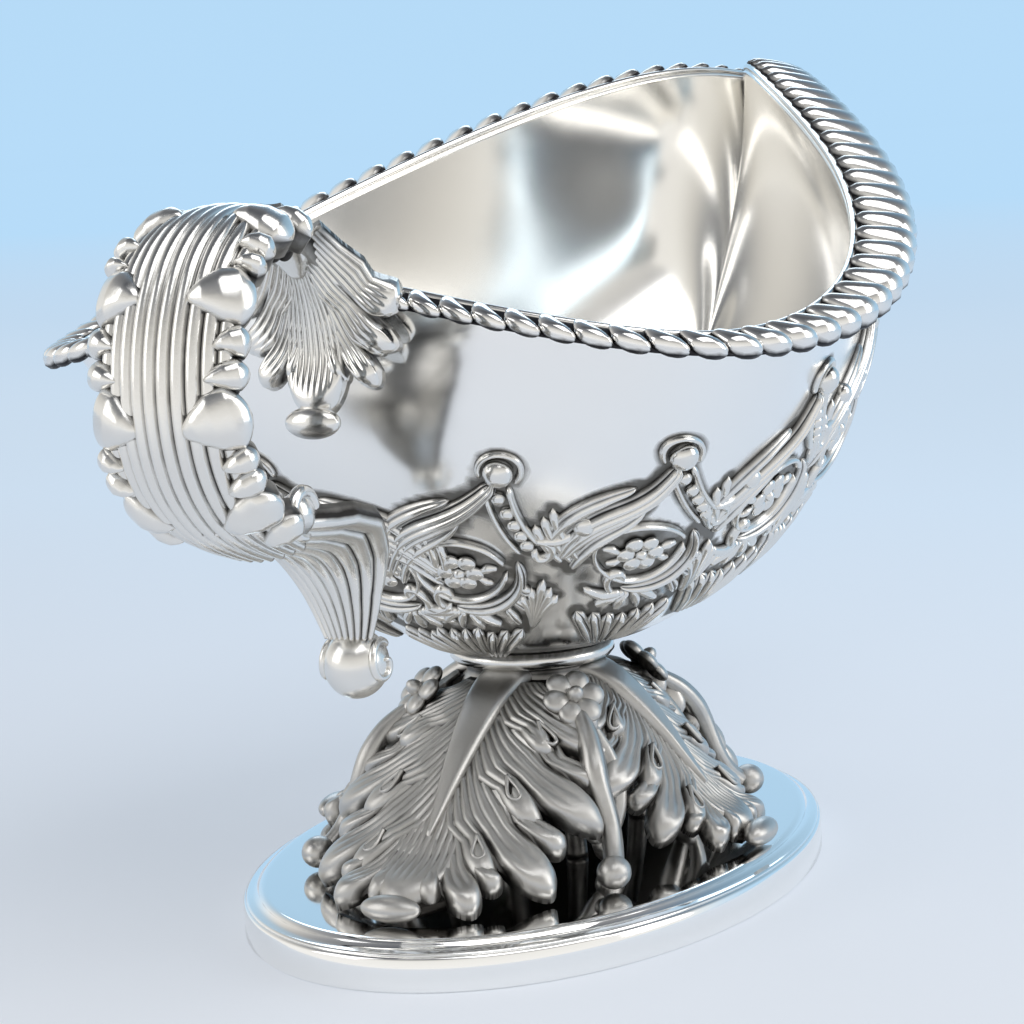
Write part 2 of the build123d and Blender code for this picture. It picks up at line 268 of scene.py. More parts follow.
def blob(b, centre, frame3, radii, pat=(0.2, 1.0), n=14, m=20):
    """Ellipsoid in a local frame (rows: right, forward, up)."""
    th = np.linspace(0.02, PI - 0.02, n)
    ph = np.linspace(0, 2 * PI, m, endpoint=False)
    a, c = np.meshgrid(th, ph, indexing="ij")
    loc = np.stack([np.sin(a) * np.cos(c) * radii[0], np.sin(a) * np.sin(c) * radii[1],
                    np.cos(a) * radii[2]], -1)
    p = np.asarray(centre, float) + loc @ np.asarray(frame3, float)
    # painted shading: bright on the side the frame's up row points to, dark on the far side
    tone = pat[0] + (pat[1] - pat[0]) * np.clip(np.cos(a) * 0.9 + 0.6, 0, 1)
    b.grid(p, tone, wrap_v=True, cap=True)


def smooth(x, lo, hi):
    """Step from 0 at lo to 1 at hi with soft ends."""
    k = np.clip((x - lo) / (hi - lo), 0, 1)
    return k * k * (3 - 2 * k)


# leaflets at the end of a lobe: from, to across its width, and how far each reaches
ONE = ((-1.0, 1.0, 1.0),)
PAIR = ((-1.0, 0.1, 0.88), (0.1, 1.0, 1.0))
THREE = ((-1.0, -0.42, 0.84), (-0.42, 0.40, 1.0), (0.40, 1.0, 0.82))


def lobe(b, place, side, root, tip, wide, base=0.3, leaflets=THREE, flutes=9, height=1.7,
         bend=(0.24, 0.66), waist=0.74, back=0.1):
    """One lobe of an acanthus leaf: flutes run from its root on the midrib to rounded leaflets."""
    low = -0.9
    n = 48
    m = 90
    s0 = np.mean(np.asarray(root, float), axis=0)
    half0 = np.linalg.norm(np.subtract(root[1], root[0])) / 2
    tip = np.asarray(tip, float)
    mid = s0 + (tip - s0) * bend
    q = np.sin(np.linspace(-PI / 2, PI / 2, m))
    k = np.linspace(0, 1, n)[:, None]
    reach = np.ones(m)
    swell = np.zeros(m)
    split = np.zeros(m)
    for lo, hi, far in leaflets:
        here = (q >= lo) & (q <= hi)
        x = np.clip((2 * q - lo - hi) / (hi - lo), -1, 1)
        round_off = (1 - np.sqrt(1 - x ** 2)) * (hi - lo) * wide * 0.75 / np.linalg.norm(tip - s0)
        reach = np.where(here, far - round_off, reach)
        swell = np.where(here, np.sqrt(1 - x ** 2), swell)
    for lo, _, _ in leaflets[1:]:
        split = np.maximum(split, np.exp(-((q - lo) / 0.06) ** 2))
    c = k * reach[None]
    near_part = ((1 - c) ** 2)[..., None] * s0
    centre = near_part + (2 * c * (1 - c))[..., None] * mid + (c ** 2)[..., None] * tip
    tangent = unit((1 - c)[..., None] * (mid - s0) + c[..., None] * (tip - mid))
    widths = [half0, half0 * 0.6 + wide * 0.3, wide * 0.84, wide * waist, wide, wide * 0.97, wide * 0.8]
    half = np.interp(c, [0, 0.22, 0.42, 0.55, 0.74, 0.9, 1], widths)
    u = centre[..., 0] - tangent[..., 1] * half * q[None]
    v = centre[..., 1] + tangent[..., 0] * half * q[None]
    groove = 1 - np.abs(np.sin(PI * flutes * (q + 1) / 2)) ** 0.7
    fluted = smooth(k, 0.0, 0.08) * (1 - smooth(k, 0.66, 0.9))
    crown = (1 - np.abs(q) ** 3.0) ** 0.5
    end = np.sqrt(np.clip(1 - (np.clip(k - 0.86, 0, 1) / 0.14) ** 2, 0, 1))
    tall = base + height * (0.42 + 0.58 * smooth(k, 0.1, 0.8))
    h = tall * (0.55 + 0.45 * crown[None]) + 0.9 * swell[None] * smooth(k, 0.6, 0.86)
    h = h - 0.5 * groove[None] * fluted - 0.9 * split[None] * smooth(k, 0.45, 0.75)
    h = low + (h - low) * end
    h[:, 0] = low
    h[:, -1] = low
    top = place(u * side, v, h)
    under = place(u * side, v, np.full_like(u, low))
    # flutes and splits between leaflets darkened (oxide and painted shade), painted highlight on the raised
    # crown, painted shade at the root where the lobe tucks in
    tone = 0.92 - 0.62 * groove[None] * fluted - 0.8 * split[None] * smooth(k, 0.4, 0.7)
    tone = tone * (0.5 + 0.5 * smooth(k, 0.0, 0.3)) * (0.45 + 0.55 * crown[None])
    tone = np.concatenate([np.clip(tone, 0, 1), np.full_like(tone, back)], 0)
    b.grid(np.concatenate([top, under[::-1]], 0), tone, wrap_u=True)


def eye(b, place, side, at, angle, size, h=1.6):
    """Drop-shaped eye with a raised rim, where two lobes of a leaf part; its hollow is a flat blob painted
    black as shade.
    """
    a = np.linspace(0, 2 * PI, 15)
    x = size * 0.5 * np.sin(a) * (1 - np.cos(a)) * 0.6
    y = -size * np.cos(a)
    c, s = math.cos(angle), math.sin(angle)
    path = np.stack([side * (at[0] + x * c + y * s), at[1] - x * s + y * c], -1)
    strand(b, place, path, [0.32] * 6, [0.55] * 6, n=34, m=8, start=0.0, end=0.0, base=h, sink=1.2)
    one = np.array([1.0])
    p = place(one * side * at[0], one * at[1], one * (h - 0.35))[0]
    up = unit(place(one * side * at[0], one * at[1], one * (h + 1))[0] - p)
    right = unit(np.cross(up, [0.1, 0.2, 1.0]))
    # flat blob painted black inside the rim: painted shade of the hollow
    blob(b, p, [right, np.cross(up, right), up], (size * 0.5, size * 0.6, 0.4), (0.0, 0.0), 8, 14)


def tube3(b, points, radii, n=40, m=14, pat=0.9, start=0.0, end=0.0, ridges=0):
    """Round or ridged tube along a path in space."""
    c = smooth_path(points, n)
    r = along(radii, n) * end_round(n, start, end)
    d = unit(np.gradient(c, axis=0))
    ref = np.array([0.13, 0.21, 0.97])
    e1 = np.zeros_like(c)
    e1[0] = unit(np.cross(d[0], ref))
    for i in range(1, n):
        v = e1[i - 1] - d[i] * (e1[i - 1] @ d[i])
        e1[i] = v / np.linalg.norm(v)
    e2 = np.cross(d, e1)
    ph = np.linspace(0, 2 * PI, m, endpoint=False)
    k = 1 - 0.15 * np.abs(np.sin(ph * ridges / 2))
    around = e1[:, None] * np.cos(ph)[None, :, None] + e2[:, None] * np.sin(ph)[None, :, None]
    p = c[:, None] + r[:, None, None] * k[None, :, None] * around
    tone = pat * np.clip(1 - 3 * (1 - k), 0, 1)
    b.grid(p, np.broadcast_to(tone, (n, m)), wrap_v=True, cap=True)


def sheet_map(points, sag, flip=1.0):
    """Map on a bent strip: u across, v along the centreline, h proud of it."""
    c = smooth_path(points, 200)
    d = unit(np.gradient(c, axis=0))
    length = run_length(c)
    across = np.array([0.0, 1.0, 0.0])
    nrm = unit(np.cross(d, across)) * flip
    bow = along(sag, 200)

    def place(u, v, h):
        i = np.clip(v, 0, length[-1])
        over = (v - i)[..., None]
        pos = np.stack([np.interp(i, length, c[:, k]) for k in range(3)], -1)
        nn = np.stack([np.interp(i, length, nrm[:, k]) for k in range(3)], -1)
        dd = np.stack([np.interp(i, length, d[:, k]) for k in range(3)], -1)
        bb = np.interp(i, length, bow)
        lean = unit(nn + (2 * bb * u)[..., None] * across)
        sheet = pos + dd * over + across * u[..., None] - nn * (bb * u * u)[..., None]
        return sheet + lean * h[..., None]
    return place, length[-1]


def turned(place, angle):
    """The same map turned about the Z axis."""
    c, s = math.cos(angle), math.sin(angle)
    rot = np.array([[c, s, 0], [-s, c, 0], [0, 0, 1]])

    def out(u, v, h):
        return place(u, v, h) @ rot
    return out


# ---------------------------------------------------------------- materials
class Shader:
    """Short forms for the nodes that several materials use."""

    def __init__(self, owner):
        owner.use_nodes = True
        self.nodes = owner.node_tree.nodes
        self.new = self.nodes.new
        self.link = owner.node_tree.links.new

    def noise(self, source, scale, detail, roughness=0.5):
        node = self.new("ShaderNodeTexNoise")
        node.inputs["Scale"].default_value = scale
        node.inputs["Detail"].default_value = detail
        node.inputs["Roughness"].default_value = roughness
        self.link(source, node.inputs["Vector"])
        return node.outputs["Fac"]

    def bump(self, source, strength, distance, target):
        node = self.new("ShaderNodeBump")
        node.inputs["Strength"].default_value = strength
        node.inputs["Distance"].default_value = distance
        self.link(source, node.inputs["Height"])
        self.link(node.outputs["Normal"], target)

    def map_range(self, source, start, stop, low=0.0, high=1.0, soft=False):
        node = self.new("ShaderNodeMapRange")
        if soft:
            node.interpolation_type = "SMOOTHSTEP"
        node.inputs["From Min"].default_value = start
        node.inputs["From Max"].default_value = stop
        node.inputs["To Min"].default_value = low
        node.inputs["To Max"].default_value = high
        self.link(source, node.inputs["Value"])
        return node.outputs["Result"]

    def colour_ramp(self, source, stops):
        """Colour ramp whose first and last stops stand at 0 and 1."""
        node = self.new("ShaderNodeValToRGB")
        elements = node.color_ramp.elements
        elements[0].color = (*stops[0][1], 1)
        elements[1].color = (*stops[-1][1], 1)
        elements[0].position = stops[0][0]
        elements[1].position = stops[-1][0]
        for position, colour in stops[1:-1]:
            elements.new(position).color = (*colour, 1)
        self.link(source, node.inputs["Fac"])
        return node.outputs["Color"]


def silver(name, bright, dark, rough, grain, bump):
    """Silver whose colour follows the patina-and-shade layer: oxide in the recesses together with painted
    shade, painted highlight and painted top light; and fine wear.
    """
    mat = bpy.data.materials.new(name)
    shader = Shader(mat)
    new, link = shader.new, shader.link
    bsdf = shader.nodes["Principled BSDF"]
    bsdf.inputs["Metallic"].default_value = 1.0
    pat = new("ShaderNodeAttribute")
    pat.attribute_name = "pat"
    local = new("ShaderNodeTexCoord").outputs["Object"]
    spots = shader.noise(local, 260.0, 5.0, 0.6)
    mix = new("ShaderNodeMath")
    mix.operation = "MULTIPLY_ADD"
    mix.inputs[1].default_value = 0.34
    link(spots, mix.inputs[0])
    link(pat.outputs["Fac"], mix.inputs[2])
    sub = new("ShaderNodeMath")
    sub.operation = "SUBTRACT"
    sub.inputs[1].default_value = 0.17
    link(mix.outputs[0], sub.inputs[0])
    shine = shader.colour_ramp(sub.outputs[0], [(0.12, (0, 0, 0)), (0.62, (1, 1, 1))])
    colour = new("ShaderNodeMix")
    colour.data_type = "RGBA"
    colour.inputs["A"].default_value = (*dark, 1)
    colour.inputs["B"].default_value = (*bright, 1)
    link(shine, colour.inputs["Factor"])
    link(colour.outputs["Result"], bsdf.inputs["Base Color"])
    wear = shader.noise(local, 55.0, 8.0)
    matt = new("ShaderNodeMix")
    matt.data_type = "FLOAT"
    matt.inputs["A"].default_value = 0.45
    link(shine, matt.inputs["Factor"])
    link(shader.map_range(wear, 0.3, 0.7, rough * 0.75, rough * 1.35), matt.inputs["B"])
    link(matt.outputs["Result"], bsdf.inputs["Roughness"])
    shader.bump(shader.noise(local, grain, 6.0), bump, 0.0004, bsdf.inputs["Normal"])
    return mat


# name, bright tone, dark tone for oxide and painted shade, roughness, grain of the surface and its depth
BRIGHT = (0.96, 0.955, 0.94)
CAST = (0.80, 0.79, 0.765)
body_mat = silver("polished_bowl", BRIGHT, (0.20, 0.193, 0.18), 0.16, 30.0, 0.05)
inner_mat = silver("mirror_interior", (0.96, 0.95, 0.925), (0.2, 0.2, 0.2), 0.15, 22.0, 0.03)
base_mat = silver("polished_plinth", BRIGHT, (0.10, 0.10, 0.10), 0.07, 26.0, 0.04)
foot_mat = silver("cast_foot", (0.56, 0.55, 0.53), (0.04, 0.037, 0.034), 0.36, 700.0, 0.14)
handle_mat = silver("cast_handle", CAST, (0.035, 0.033, 0.032), 0.2, 700.0, 0.1)
rim_mat = silver("gadroon_border", (0.84, 0.83, 0.81), (0.03, 0.03, 0.034), 0.13, 500.0, 0.05)
relief_mat = silver("chased_relief", CAST, (0.04, 0.038, 0.036), 0.2, 600.0, 0.1)


# ---------------------------------------------------------------- plinth
PLINTH_STEPS = 220


def oval(inset, z, shrink=1.0):
    """Ring of points, inset from the plinth's outline and drawn in towards its middle."""
    ph = np.linspace(0, 2 * PI, PLINTH_STEPS, endpoint=False)
    x = (PLINTH_A - inset) * shrink * np.cos(ph)
    y = (PLINTH_B - inset) * shrink * np.sin(ph)
    return np.stack([x, y, np.full(PLINTH_STEPS, z)], -1)


def plinth():
    """Plain band and stepped plate; both profiles are (inset from the outline, height)."""
    band = [(1.6, 0.0), (0.35, 0.0), (0.0, 0.35), (0.0, 2.6), (0.0, 5.0), (0.3, 5.45), (1.6, 5.5),
            (1.6, 2.6)]
    b = Build()
    rows = np.array([oval(inset, z) for inset, z in band])
    b.grid(rows, np.full((len(band), PLINTH_STEPS), 1.0), wrap_u=True, wrap_v=True)
    b.piece("plinth_band", base_mat, "base_silver", ["base_band"])
    edge = [(0.45, 5.5), (0.42, 5.75), (0.9, 5.9), (1.6, 6.02), (2.2, 6.3), (2.55, 6.75), (2.8, 7.05),
            (3.4, 7.28), (3.9, PLINTH_TOP)]
    rows = [oval(inset, z) for inset, z in edge]
    # darker on the step's face (oxide and painted shade) and toward the middle under the foot (painted
    # shade)
    tone = [0.75, 0.8, 1, 1, 0.9, 0.55, 0.8, 1, 1]
    for k in np.linspace(1, 0.02, 26)[1:]:
        rows.append(oval(3.9, PLINTH_TOP, k))
        tone.append(0.5 + 0.5 * np.clip((k - 0.35) / 0.4, 0, 1))
    for k in np.linspace(0.02, 1, 4):
        rows.append(oval(5.0, 6.0, k))
        tone.append(0.4)
    rows.append(oval(5.0, 5.55))
    tone.append(0.4)
    b = Build()
    b.grid(np.array(rows), np.array(tone)[:, None] * np.ones((1, PLINTH_STEPS)), wrap_u=True, wrap_v=True)
    b.piece("plinth_plate", base_mat, "base_silver", ["base_plate"])


# ---------------------------------------------------------------- foot
# distance from the middle and height along a leaf's midrib, for the two long leaves
FOOT_LINE = [(8, 36.0), (14, 35.4), (22, 31.2), (31, 24.4), (40, 16.8), (48, 11.4), (54, 9.4)]
# where each lobe's tip lies, as a part of the leaf's length and width, and its own half width
FOOT_LOBES = [(0.29, 0.82, 0.31), (0.54, 0.98, 0.37), (0.80, 0.86, 0.35), (0.965, 0.50, 0.28)]


def foot_map(reach):
    """Map on a leaf of the foot that reaches so far from the middle, along +X."""
    k = (reach - 8) / 46
    pts = [(8 + (r - 8) * k, 0, z) for r, z in FOOT_LINE]
    return sheet_map(pts, [0.012, 0.02, 0.021, 0.0185, 0.018, 0.016, 0.012])


def acanthus(b, place, length, wide, lobes, rib=4.6):
    """Acanthus leaf: a sheet, fluted lobes either side of a smooth tapering midrib."""
    v = np.linspace(0, 1, 60)
    half = np.interp(v, [0, 0.15, 0.4, 0.7, 0.9, 1], [0.30, 0.5, 0.62, 0.56, 0.4, 0.15]) * wide
    x = np.linspace(-1, 1, 41)
    u = half[:, None] * x[None]
    vv = (v * length)[:, None] * np.ones_like(x)[None]
    top = place(u, vv, np.full_like(u, 0.2))
    low = place(u[:, ::-1], vv[:, ::-1], np.full_like(u, -1.3))
    # the sheet under the lobes is nearly black: painted shade showing in the gaps between them
    b.grid(np.concatenate([top, low], 1), np.full((60, 82), 0.05), wrap_v=True, cap=True)
    count = len(lobes)
    for side in (-1, 1):
        for i, (tv, tw, half_wide) in enumerate(lobes):
            v0, v1 = 0.03 + 0.62 * i / count, 0.03 + 0.62 * (i + 1) / count
            root = [(rib * (0.85 - v0), v0 * length), (rib * (0.85 - v1), v1 * length)]
            lobe(b, place, side, root, (tw * wide, tv * length), half_wide * wide,
                 base=0.25 + 0.22 * (count - i) / count, flutes=9)
        for i in range(count - 1):
            at = (wide * (0.47 - 0.06 * i), length * (0.30 + 0.225 * i))
            eye(b, place, side, at, 0.75 - 0.2 * i, 2.3, 2.3)
    lobe(b, place, 1, [(2.6, 0.42 * length), (-2.6, 0.42 * length)], (0.0, length * 1.01), 0.24 * wide,
         leaflets=ONE, flutes=9, bend=(0.5, 0.5), waist=0.9, base=0.1)
    strand(b, place, [(0, 0), (0, length * 0.25), (0, length * 0.5), (0, length * 0.74)],
           [rib, rib * 0.74, rib * 0.42, 0.3], [2.0, 2.2, 2.1, 1.4], n=40, m=20, crown=6.0,
           start=0.0, end=0.03, base=0.3)


def foot_leaf(name, angle, reach, wide):
    """One acanthus leaf with the rounded toe that rests over the plinth."""
    place, length = foot_map(reach)
    at = turned(place, angle)
    b = Build()
    acanthus(b, at, length, wide, FOOT_LOBES)
    c = at(np.array([0.0]), np.array([length + 0.4]), np.array([0.6]))[0]
    across = np.array([-math.sin(angle), math.cos(angle), 0])
    out = np.array([math.cos(angle), math.sin(angle), 0])
    c[2] = max(c[2], PLINTH_TOP + 2.1)
    blob(b, c + out, [across, out, [0, 0, 1]], (5.0, 2.4, 2.1), (0.9, 1.0), 18, 26)
    b.piece(name, foot_mat, "foot_silver", [name])


def rosette(b, c, facing, r, petals=6, proud=1.1):
    """Flower with rounded petals and a domed middle, turned to face a direction."""
    nrm = unit(np.array(facing, float))
    e1 = unit(np.cross(nrm, [0.1, 0.2, 1.0]))
    e2 = np.cross(nrm, e1)
    for k in range(petals):
        a = 2 * PI * k / petals
        d = e1 * math.cos(a) + e2 * math.sin(a)
        radii = (r * 0.44, r * 2.5 / petals, r * 0.22 * proud)
        blob(b, c + d * r * 0.58, [d, np.cross(nrm, d), nrm], radii, (-0.3, 1.0), 12, 18)
    radii = (r * 0.26, r * 0.26, r * 0.34 * proud)
    blob(b, c + nrm * r * 0.15 * proud, [e1, e2, nrm], radii, (0.2, 1.0), 10, 14)


GAPS = {"back_right": (-1, -1), "back_left": (-1, 1), "front_right": (1, -1), "front_left": (1, 1)}
# what fills the gap between two leaves, drawn for the front left one
MAIN_STEM = [(15.5, 14.6, 32), (20, 18.5, 29), (24, 20.5, 23), (23, 22.6, 17), (26, 24.2, 12),
             (29.5, 25.6, 10.4)]
SIDE_STEMS = [[(15, 13.5, 30), (17, 14.2, 25.5), (20.5, 14.6, 20), (20, 16.8, 14.5), (17.5, 18.5, 11.5)],
              [(14, 15.5, 30), (14.5, 18.6, 25.5), (15.2, 21.5, 20), (17.5, 21.5, 14.5), (18.5, 19.5, 11.5)]]
BERRIES = [((20.5, 17.2, 22.5), 1.6), ((21.5, 18.4, 19.6), 1.6), ((25.5, 21.0, 14.6), 1.5),
           ((22.5, 20.6, 12.6), 1.6), ((17.0, 19.3, 10.4), 2.4), ((24.5, 18.0, 17.0), 1.4)]
STRUT = [(8.8, 8.2, 31.5), (11, 10.2, 24), (12.6, 11.6, 16), (13.2, 12.2, 7.4)]


def foot_gap(name, sx, sy):
    """Rosette, stems with berries and inner strut between two leaves."""
    turn = np.array([sx, sy, 1.0])
    b = Build()
    rosette(b, np.array([15.0, 13.8, 34.0]) * turn, [sx, sy, 1.3], 5.2)
    b.piece("foot_rosette_" + name, foot_mat, "foot_silver", ["foot_rosette_" + name])
    b = Build()
    tube3(b, np.array(MAIN_STEM) * turn, [1.3, 1.9, 2.1, 1.8, 1.7, 1.6], ridges=6, start=0.05, end=0.04)
    blob(b, np.array([30.5, 26.0, 10.3]) * turn, np.eye(3), (2.9, 2.7, 2.6), (0.4, 1.0))
    for stem in SIDE_STEMS:
        tube3(b, np.array(stem) * turn, [1.2, 1.7, 1.9, 1.6, 1.2], ridges=5, start=0.05, end=0.05)
    for c, r in BERRIES:
        blob(b, np.array(c) * turn, np.eye(3), (r, r, r), (0.4, 1.0))
    b.piece("foot_tendril_" + name, foot_mat, "foot_silver", ["foot_tendril_" + name])
    b = Build()
    # the inner strut is dark all over: oxide and painted shade deep between the leaves
    tube3(b, np.array(STRUT) * turn, [1.6, 1.5, 1.5, 1.8], pat=0.25)
    b.piece("foot_strut_" + name, foot_mat, "foot_silver", ["foot_strut_" + name])


def foot():
    """Four acanthus leaves and what fills the gaps between them."""
    for name, angle, reach, wide in (("back", PI, 54.0, 23.5), ("front", 0.0, 54.0, 23.5),
                                     ("left", PI / 2, 37.5, 19.5), ("right", -PI / 2, 37.5, 19.5)):
        foot_leaf("foot_leaf_" + name, angle, reach, wide)
    for name, (sx, sy) in GAPS.items():
        foot_gap(name, sx, sy)


def turned_ring(name, prof, tone, mat):
    """Ring turned from a profile of (radius, height), with a patina-and-shade value for each point."""
    ph = np.linspace(0, 2 * PI, 120, endpoint=False)
    p = np.array([[(r * math.cos(a), r * math.sin(a), z) for a in ph] for r, z in prof])
    b = Build()
    b.grid(p, np.array(tone, float)[:, None] * np.ones((1, len(ph))), wrap_u=True, wrap_v=True)
    b.piece(name, mat, "foot_silver", [name])


def collar():
    """Rolled ring under the bowl and the moulded neck of the foot below it."""
    ring = [(11.2, 40.3), (12.6, 40.25), (13.3, 39.9), (13.75, 39.2), (13.75, 38.4), (13.2, 37.7),
            (12.2, 37.3), (11.2, 37.2)]
    turned_ring("collar_ring", ring, [0.2, 0.4, 0.9, 1, 1, 0.8, 0.3, 0.1], handle_mat)
    neck = [(9.4, 37.2), (11.3, 37.2), (11.0, 36.4), (11.2, 35.6), (11.9, 35.0), (12.3, 34.2),
            (12.0, 33.2), (11.0, 31.2), (9.4, 31.0)]
    turned_ring("foot_neck", neck, [0.1, 0.15, 0.25, 0.5, 0.9, 0.9, 0.5, 0.1, 0.0], foot_mat)


# ---------------------------------------------------------------- relief on the bowl
# each panel's middle, as length round the bowl and height up its wall, and how far it leans
PANEL_AT = [(9.0, 33.0, 0.2), (39.5, 38.5, -0.22), (65.5, 43.0, -0.26), (92.0, 46.0, -0.2),
            (118.0, 48.0, -0.1)]
PANEL_SCALE = (1.04, 1.24)
# lines and half widths of all that is laid on one side, for the dark edge round the relief, oxide and
# painted contact shade
PATHS = []


class Relief:
    """One panel's strips and bosses, drawn as (along, up) points from the panel's middle."""

    def __init__(self, side, middle):
        self.build = Build()
        self.place = on_bowl(side)
        self.middle = middle

    def on_panel(self, local):
        """Points moved to the panel's place on the bowl and leant with it."""
        u, v, lean = self.middle
        x = local[..., 0] * PANEL_SCALE[0]
        y = local[..., 1] * PANEL_SCALE[1]
        return np.stack([u + x + lean * y, v + y], -1)

    def lay(self, path, widths, heights, **shape):
        points = self.on_panel(np.asarray(path, float))
        PATHS.append((smooth_path(points, 24), max(widths)))
        strand(self.build, self.place, points, widths, heights, **shape)

    def knob(self, u, v, r, proud=1.0):
        u, v = self.on_panel(np.array([u, v]))
        PATHS.append((np.array([[u, v]]), r))
        one = np.array([1.0])
        c = self.place(one * u, one * v, one * (r * 0.35))[0]
        up = unit(self.place(one * u, one * v, one * (r * 0.35 + 1))[0] - c)
        across = unit(np.cross(up, [0, 0, 1.0]))
        # painted shading: bright where the boss faces out from the bowl, dark round its foot
        blob(self.build, c, [across, np.cross(up, across), up], (r, r, r * 0.85 * proud), (0.1, 1.0), 14, 20)


def spiral(cx, cy, r0, r1, a0, turns):
    """Points of a flat spiral from radius r0 to r1, starting at the angle a0."""
    k = np.linspace(0, 1, 9)
    r = r0 + (r1 - r0) * k
    a = a0 + turns * 2 * PI * k
    return np.stack([cx + r * np.cos(a), cy + r * np.sin(a)], -1)


def panel(name, side, middle):
    """One scroll panel, about 30 mm long."""
    relief = Relief(side, middle)
    lay = relief.lay
    knob = relief.knob
    # leaf that sweeps up to the peak, as a fan of fluted fingers
    lay([(-13.5, -2.5), (-10, 3), (-3, 6.8), (2.0, 10.0), (4.3, 14.2)],
        [1.3, 2.2, 2.3, 1.7, 1.0], [1.2, 1.9, 2.2, 2.2, 1.8], n=44, m=14, flutes=4, end=0.05)
    lay([(-14.5, 0.5), (-12, 5.0), (-6.5, 8.6), (-1.0, 10.6)], [0.8, 1.5, 1.3, 0.7],
        [1.0, 1.6, 1.6, 1.0], n=30, m=10, flutes=2)
    lay([(-12, -4.5), (-9.4, -0.5), (-5.6, 2.5), (-1.6, 4.6), (0.2, 7.0)],
        [0.8, 1.3, 1.4, 1.1, 0.6], [0.9, 1.5, 1.6, 1.4, 1.0], n=30, m=10, flutes=2)
    for q in range(3):
        lay([(-13 + q * 1.6, -3), (-15.6 + q * 1.2, -0.5 + q), (-15.8 + q * 1.6, 3.4 + q * 1.5)],
            [0.7, 1.0, 0.8], [0.9, 1.2, 0.9], n=14, m=8)
    knob(4.6, 16.2, 2.3)
    lay(spiral(4.6, 16.2, 2.9, 2.6, -0.7, 0.72), [0.5] * 4, [0.9] * 4, n=26, m=8)
    # beaded arm that comes down from the peak to the curl
    lay([(6.2, 14.0), (7.4, 10.0), (9.6, 6.6), (12.6, 4.6)], [0.55, 0.6, 0.6, 0.5],
        [1.3] * 4, n=24, m=8)
    lay([(3.6, 12.2), (4.8, 8.4), (7.0, 5.0), (10.0, 2.6)], [0.5, 0.55, 0.55, 0.5],
        [1.1] * 4, n=24, m=8)
    for k in np.linspace(0, 1, 5):
        knob(5.2 + 5.2 * k ** 0.9, 12.0 - 7.6 * k ** 0.85, 1.15)
    lay(spiral(12.6, 3.4, 2.6, 0.6, 2.2, -0.95), [0.75, 0.9, 0.9, 0.8],
        [1.5, 1.6, 1.5, 1.2], n=30, m=10)
    lay([(11.8, 5.6), (14.4, 5.2), (16.4, 6.2), (17.0, 7.8)], [0.8, 1.0, 0.9, 0.6],
        [1.4, 1.6, 1.4, 1.0], n=18, m=8)
    knob(17.4, 8.6, 1.8)
    # oval wire ring with its flower
    ring = [(8.2 * math.cos(a), -1.5 + 5.6 * math.sin(a)) for a in np.linspace(0.35, 2 * PI + 0.1, 14)]
    lay(ring, [0.55] * 6, [1.25] * 6, n=64, m=8, start=0.02, end=0.02)
    for k in range(6):
        a = k * PI / 3
        knob(2.6 * math.cos(a), -1.5 + 2.1 * math.sin(a), 1.5, 0.6)
    knob(0, -1.5, 1.0, 1.5)
    for way in (-1, 1):
        lay([(way * 3.4, -1.4), (way * 5.0, -0.2), (way * 6.6, -0.6)], [0.5, 0.9, 0.4],
            [0.7, 1.0, 0.6], n=12, m=8)
        lay([(way * 3.2, -2.4), (way * 4.8, -3.6), (way * 6.0, -3.2)], [0.4, 0.8, 0.4],
            [0.6, 0.9, 0.5], n=12, m=8)
    # scroll tail to the lower right and the leaf sprays below
    lay([(9.5, 1.0), (11.5, -2.5), (10.0, -7.0), (4.0, -9.4), (-2.5, -8.8)],
        [0.8, 1.3, 1.6, 1.4, 0.7], [1.2, 1.6, 1.8, 1.6, 1.0], n=40, m=12, flutes=2)
    lay(spiral(-3.6, -6.6, 2.6, 0.7, -1.9, -0.9), [0.8, 0.9, 0.8, 0.7],
        [1.3, 1.4, 1.3, 1.0], n=26, m=8)
    for q, (u, v) in enumerate(((13.0, -4.5), (14.5, -8.5), (12.0, -12.0))):
        lay([(10.5 - q, -4.0 - q * 2.2), (12.0 - q, -4.6 - q * 2.6), (u, v)],
            [0.8, 1.3, 0.8], [1.1, 1.5, 1.0], n=14, m=8, flutes=1)
    for q, (u, v) in enumerate(((-10.0, -8.5), (-7.5, -12.5), (-2.5, -13.5), (3.0, -13.5), (7.5, -12.5))):
        lay([(-2 + q * 0.8, -9.5), ((u - 1) * 0.6, -10.5), (u, v)],
            [0.7, 1.2, 0.8], [1.0, 1.4, 0.9], n=14, m=8)
    # leaves that stand up from the collar under the ring
    for q in (-3, -2, -1, 0, 1, 2, 3):
        lay([(q * 1.6, -23.0), (q * 2.7, -19.5), (q * 4.0 + 0.6, -15.5 + abs(q) * 0.5)],
            [0.9, 1.9, 1.7], [1.0, 1.6, 1.5], n=22, m=12, flutes=2)
    # small upright acanthus between this panel and the next
    for q in (-2, -1, 0, 1, 2):
        lay([(14.6, -13.0), (14.6 + q * 0.8, -7), (14.6 + q * 1.9, -2.4 - abs(q) * 1.6)],
            [0.5, 0.95, 1.0], [0.9, 1.3, 1.3], n=18, m=8)
    relief.build.piece(name, relief_mat, "relief_silver", [name])


